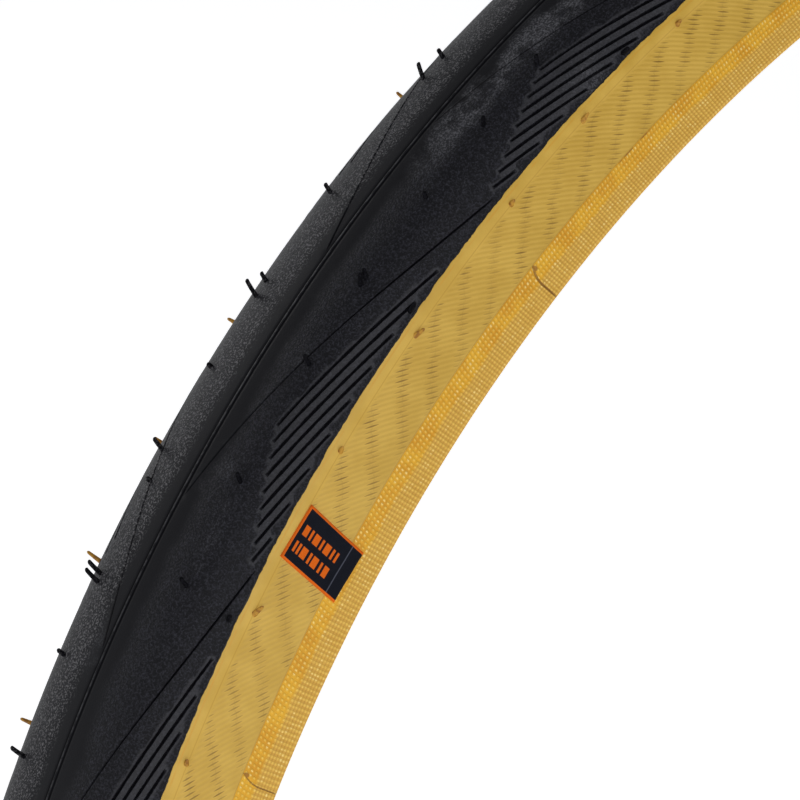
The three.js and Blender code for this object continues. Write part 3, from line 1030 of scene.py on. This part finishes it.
def build_belt(which, height, slant):
    """The outer or inner puncture belt, between the tread and the casing."""
    arcs = [0, 4, 8, 11]
    heights = [height] * len(arcs)
    dark, light = (0.05, 0.055, 0.07), (0.15, 0.17, 0.2)
    material = corded_nylon("belt_nylon_" + which, dark, light, ROUND / BELT_CORDS, slant)
    build_layer("puncture_belt_" + which, arcs, heights, BELT_THICKNESS, material, "belt_nylon")


# ---------------------------------------------------------------- tag

def build_label():
    """A woven tag across the foot of the side wall, a little rippled and raised along its fold."""
    skin = Skin()
    across = np.linspace(0, LABEL_WIDTH, 41)
    down = np.linspace(0, LABEL_HEIGHT, 57)
    x, y = (grid.T for grid in np.meshgrid(across, down))
    run = LABEL_RUN_TOP + (LABEL_RUN_FOOT - LABEL_RUN_TOP) * y / LABEL_HEIGHT + x
    arc = LABEL_TOP + y + LABEL_TILT * x
    ripple = 0.05 * np.sin(x * 1.1 + y * 0.5) + 0.04 * np.sin(y * 1.7 - x * 0.4)
    step = 0.12 * np.exp(-(((y - LABEL_FOLD) / 0.35) ** 2))
    rim = np.minimum.reduce([x, LABEL_WIDTH - x, y, LABEL_HEIGHT - y])
    rounding = np.sqrt(np.clip(rim / 0.25, 0, 1))
    top = LABEL_BASE + 0.12 + ripple + step + 0.28 * rounding
    places = np.stack([x, y], -1)
    for height in (top, LABEL_BASE):
        skin.add_grid(on_tire(run, arc, height), places)
    rim_lines = [(slice(None), 0), (slice(None), -1), (0, slice(None)), (-1, slice(None))]
    for line in rim_lines:
        upper = on_tire(run[line], arc[line], top[line])
        lower = on_tire(run[line], arc[line], LABEL_BASE)
        skin.add_grid(np.stack([upper, lower], 1), np.stack([places[line], places[line]], 1))
    skin.piece("bead_label", label_cloth(), "label_cloth")


# ---------------------------------------------------------------- stage, light and camera

def build_stage():
    """A wide pale floor, a millimetre under the ring."""
    below = (0, 0, cad_low.z - MM)
    bpy.ops.mesh.primitive_circle_add(vertices=96, radius=40, fill_type="NGON", location=below)
    floor = bpy.context.object
    floor.name = "floor"
    material = bpy.data.materials.new("pale_floor")
    material.use_nodes = True
    shader = material.node_tree.nodes["Principled BSDF"]
    shader.inputs["Base Color"].default_value = (0.92, 0.92, 0.93, 1)
    shader.inputs["Roughness"].default_value = 0.9
    shader.inputs["Emission Color"].default_value = (1, 1, 1, 1)
    shader.inputs["Emission Strength"].default_value = 0.62
    floor.data.materials.append(material)


def area_light(name, place, size, power):
    """A round soft lamp aimed at the arc in view."""
    lamp = bpy.data.lights.new(name, "AREA")
    lamp.shape = "DISK"
    lamp.size = size
    lamp.energy = power
    holder = bpy.data.objects.new(name, lamp)
    holder.location = place
    holder.rotation_euler = (LIGHT_AIM - Vector(place)).to_track_quat("-Z", "Y").to_euler()
    bpy.context.scene.collection.objects.link(holder)


def build_light():
    """A pale surround, brightest near the horizon, and two large soft lamps."""
    world = bpy.data.worlds.new("studio")
    world.use_nodes = True
    tree = world.node_tree
    background = tree.nodes["Background"]
    split = tree.nodes.new("ShaderNodeSeparateXYZ")
    tree.links.new(tree.nodes.new("ShaderNodeTexCoord").outputs["Generated"], split.inputs["Vector"])
    level = Signal(tree, split.outputs["Z"]).ramp(0.65, 0.1)
    tree.links.new((level * 0.8 + 0.22).socket, background.inputs["Strength"])
    background.inputs["Color"].default_value = (0.97, 0.985, 1.0, 1)
    bpy.context.scene.world = world
    area_light("key", (-1.5, -2.3, 1.5), 1.3, 19.5)
    area_light("back", (-0.4, 2.3, 1.0), 0.8, 7)


def build_camera():
    """The photograph's viewpoint: a long lens above and beside the ring, aimed at its upper left."""
    azimuth, elevation = math.radians(CAMERA_AZIMUTH), math.radians(CAMERA_ELEVATION)
    ahead = Vector((-math.sin(azimuth), math.cos(azimuth), 0))
    forward = ahead * math.cos(elevation) - Vector((0, 0, math.sin(elevation)))
    level = Vector((math.cos(azimuth), math.sin(azimuth), 0))
    above = level.cross(forward)
    c, s = math.cos(math.radians(CAMERA_ROLL)), math.sin(math.radians(CAMERA_ROLL))
    right, up = c * level + s * above, -s * level + c * above
    data = bpy.data.cameras.new("camera")
    data.sensor_width = SENSOR_WIDTH
    data.lens = SENSOR_WIDTH * FOCAL_SHARE
    data.clip_start = 0.01
    camera = bpy.data.objects.new("camera", data)
    turn = Matrix((right, up, -forward)).transposed().to_4x4()
    camera.matrix_world = Matrix.Translation(CAMERA_AIM - forward * CAMERA_DISTANCE) @ turn
    bpy.context.scene.collection.objects.link(camera)
    bpy.context.scene.camera = camera


# ---------------------------------------------------------------- the tire

build_camera()
build_tread()
build_sidewall("sidewall_skin_near", 1, NEAR_STEP_HAIRS)
build_sidewall("sidewall_skin_far", -1, FAR_STEP_HAIRS)
for side_name, side in (("near", 1), ("far", -1)):
    build_chafer("chafer_splice_" + side_name, side, SEAM_RUNS[0], SEAM_RUNS[1])
    build_chafer("chafer_strip_" + side_name, side, SEAM_RUNS[1], SEAM_RUNS[0] + ROUND)
    build_bead_core("bead_core_" + side_name, side)
build_casing()
build_belt("outer", -2.42, 0.9)
build_belt("inner", -2.87, -0.9)
build_label()
build_stage()
build_light()
bpy.context.scene.view_settings.view_transform = "Standard"
